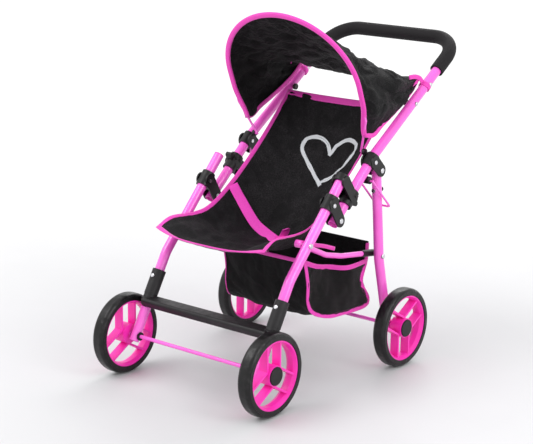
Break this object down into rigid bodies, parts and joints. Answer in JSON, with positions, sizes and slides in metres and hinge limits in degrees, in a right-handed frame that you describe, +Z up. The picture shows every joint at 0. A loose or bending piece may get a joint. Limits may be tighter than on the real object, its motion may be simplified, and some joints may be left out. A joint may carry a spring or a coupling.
{
  "type": "doll stroller",
  "caption": "Folding doll stroller with a four-wheel tube frame, a sling seat, a hooped canopy, a fabric basket and a foam-gripped push bar.",
  "frame": {"origin": "on the floor, under the middle of the stroller's outer box", "axes": "+Z up, the front wheels towards -Y, the push bar towards +Y, +X is the left side as a seated doll has it"},
  "size_m": [0.376, 0.6312, 0.605],
  "materials": {
    "pink_tube": "glossy bright pink powder coat",
    "pink_plastic": "moulded bright pink plastic, satin gloss",
    "black_plastic": "moulded black plastic with a fine grain",
    "foam_tyre": "closed-cell black foam with a slight gloss and small dents",
    "foam_grip": "soft black foam tube with fine ribs",
    "zinc_steel": "zinc-plated steel",
    "black_fabric": "black woven polyester, plain weave",
    "pink_webbing": "pink woven tape"
  },
  "bodies": {
    "front_frame": {"left_front_leg": "pink_tube", "right_front_leg": "pink_tube", "leg_top_plugs": "pink_plastic", "footrest": "black_plastic", "footrest_screws": "zinc_steel", "front_axle": "pink_tube", "front_axle_bushes": "black_plastic", "left_leg_bracket": "black_plastic", "right_leg_bracket": "black_plastic", "leg_bracket_screws": "zinc_steel", "fold_pivot_pins": "zinc_steel", "link_pins": "zinc_steel", "seat_pan": "black_fabric", "buckle": "pink_webbing"},
    "handle": {"handle_tube": "pink_tube", "handle_grip": "foam_grip", "left_handle_bracket": "black_plastic", "right_handle_bracket": "black_plastic", "handle_bracket_screws": "zinc_steel", "rear_pivot_pins": "zinc_steel", "handle_bolts": "zinc_steel", "canopy_clips": "black_plastic", "canopy_knobs": "black_plastic", "catch_clip": "black_plastic", "backrest": "black_fabric", "harness_strap": "pink_webbing"},
    "rear_legs": {"left_rear_leg": "pink_tube", "right_rear_leg": "pink_tube", "rear_axle": "pink_tube", "rear_axle_bushes": "black_plastic", "rear_link_bolts": "zinc_steel", "catch_knobs": "black_plastic", "catch_knob_bolts": "zinc_steel"},
    "side_links": {"left_side_link": "pink_tube", "right_side_link": "pink_tube", "link_end_caps": "black_plastic", "basket": "black_fabric"},
    "canopy": {"canopy_bow": "pink_tube", "canopy_fabric": "black_fabric"},
    "left_lock": {"left_fold_lock": "black_plastic"},
    "right_lock": {"right_fold_lock": "black_plastic"},
    "fold_catch": {"fold_catch": "pink_tube"},
    "left_front_wheel": {"left_front_rim": "pink_plastic", "left_front_tyre": "foam_tyre", "left_front_hub_cap": "black_plastic"},
    "right_front_wheel": {"right_front_rim": "pink_plastic", "right_front_tyre": "foam_tyre", "right_front_hub_cap": "black_plastic"},
    "left_rear_wheel": {"left_rear_rim": "pink_plastic", "left_rear_tyre": "foam_tyre", "left_rear_hub_cap": "black_plastic"},
    "right_rear_wheel": {"right_rear_rim": "pink_plastic", "right_rear_tyre": "foam_tyre", "right_rear_hub_cap": "black_plastic"}
  },
  "joints": [
    {"name": "fold", "type": "hinge", "parent": "front_frame", "child": "handle", "pos_m": [0, -0.053, 0.2785], "axis": [-1, 0, 0], "range_deg": [0, 92], "deforming": ["backrest", "harness_strap", "seat_pan", "buckle", "basket"]},
    {"name": "rear_leg_pivot", "type": "hinge", "parent": "handle", "child": "rear_legs", "pos_m": [0, 0.0595, 0.3448], "axis": [1, 0, 0], "range_deg": [0, 48.5]},
    {"name": "side_link_pivot", "type": "hinge", "parent": "front_frame", "child": "side_links", "pos_m": [0, -0.1285, 0.2505], "axis": [-1, 0, 0], "range_deg": [0, 63]},
    {"name": "fold_catch_swing", "type": "hinge", "parent": "handle", "child": "fold_catch", "pos_m": [0, 0.029, 0.332], "axis": [1, 0, 0], "range_deg": [0, 43]},
    {"name": "canopy_fold", "type": "hinge", "parent": "handle", "child": "canopy", "pos_m": [0, 0.043, 0.376], "axis": [-1, 0, 0], "range_deg": [0, 62], "deforming": ["canopy_fabric"]},
    {"name": "left_lock_slide", "type": "slide", "parent": "handle", "child": "left_lock", "axis": [0, 0.7464, 0.6655], "range_m": [0, 0.027]},
    {"name": "right_lock_slide", "type": "slide", "parent": "handle", "child": "right_lock", "axis": [0, 0.7464, 0.6655], "range_m": [-0.027, 0]},
    {"name": "left_front_wheel_spin", "type": "hinge", "parent": "front_frame", "child": "left_front_wheel", "pos_m": [0.1575, -0.2465, 0.069], "axis": [1, 0, 0], "continuous": true},
    {"name": "right_front_wheel_spin", "type": "hinge", "parent": "front_frame", "child": "right_front_wheel", "pos_m": [-0.1575, -0.2465, 0.069], "axis": [1, 0, 0], "continuous": true},
    {"name": "left_rear_wheel_spin", "type": "hinge", "parent": "rear_legs", "child": "left_rear_wheel", "pos_m": [0.174, 0.09, 0.069], "axis": [1, 0, 0], "continuous": true},
    {"name": "right_rear_wheel_spin", "type": "hinge", "parent": "rear_legs", "child": "right_rear_wheel", "pos_m": [-0.174, 0.09, 0.069], "axis": [1, 0, 0], "continuous": true}
  ],
  "couplings": [
    {"joint": "rear_leg_pivot", "follows": "fold", "ratio": 0.5202},
    {"joint": "side_link_pivot", "follows": "fold", "ratio": 0.677},
    {"joint": "fold_catch_swing", "follows": "fold", "ratio": 0.46}
  ]
}
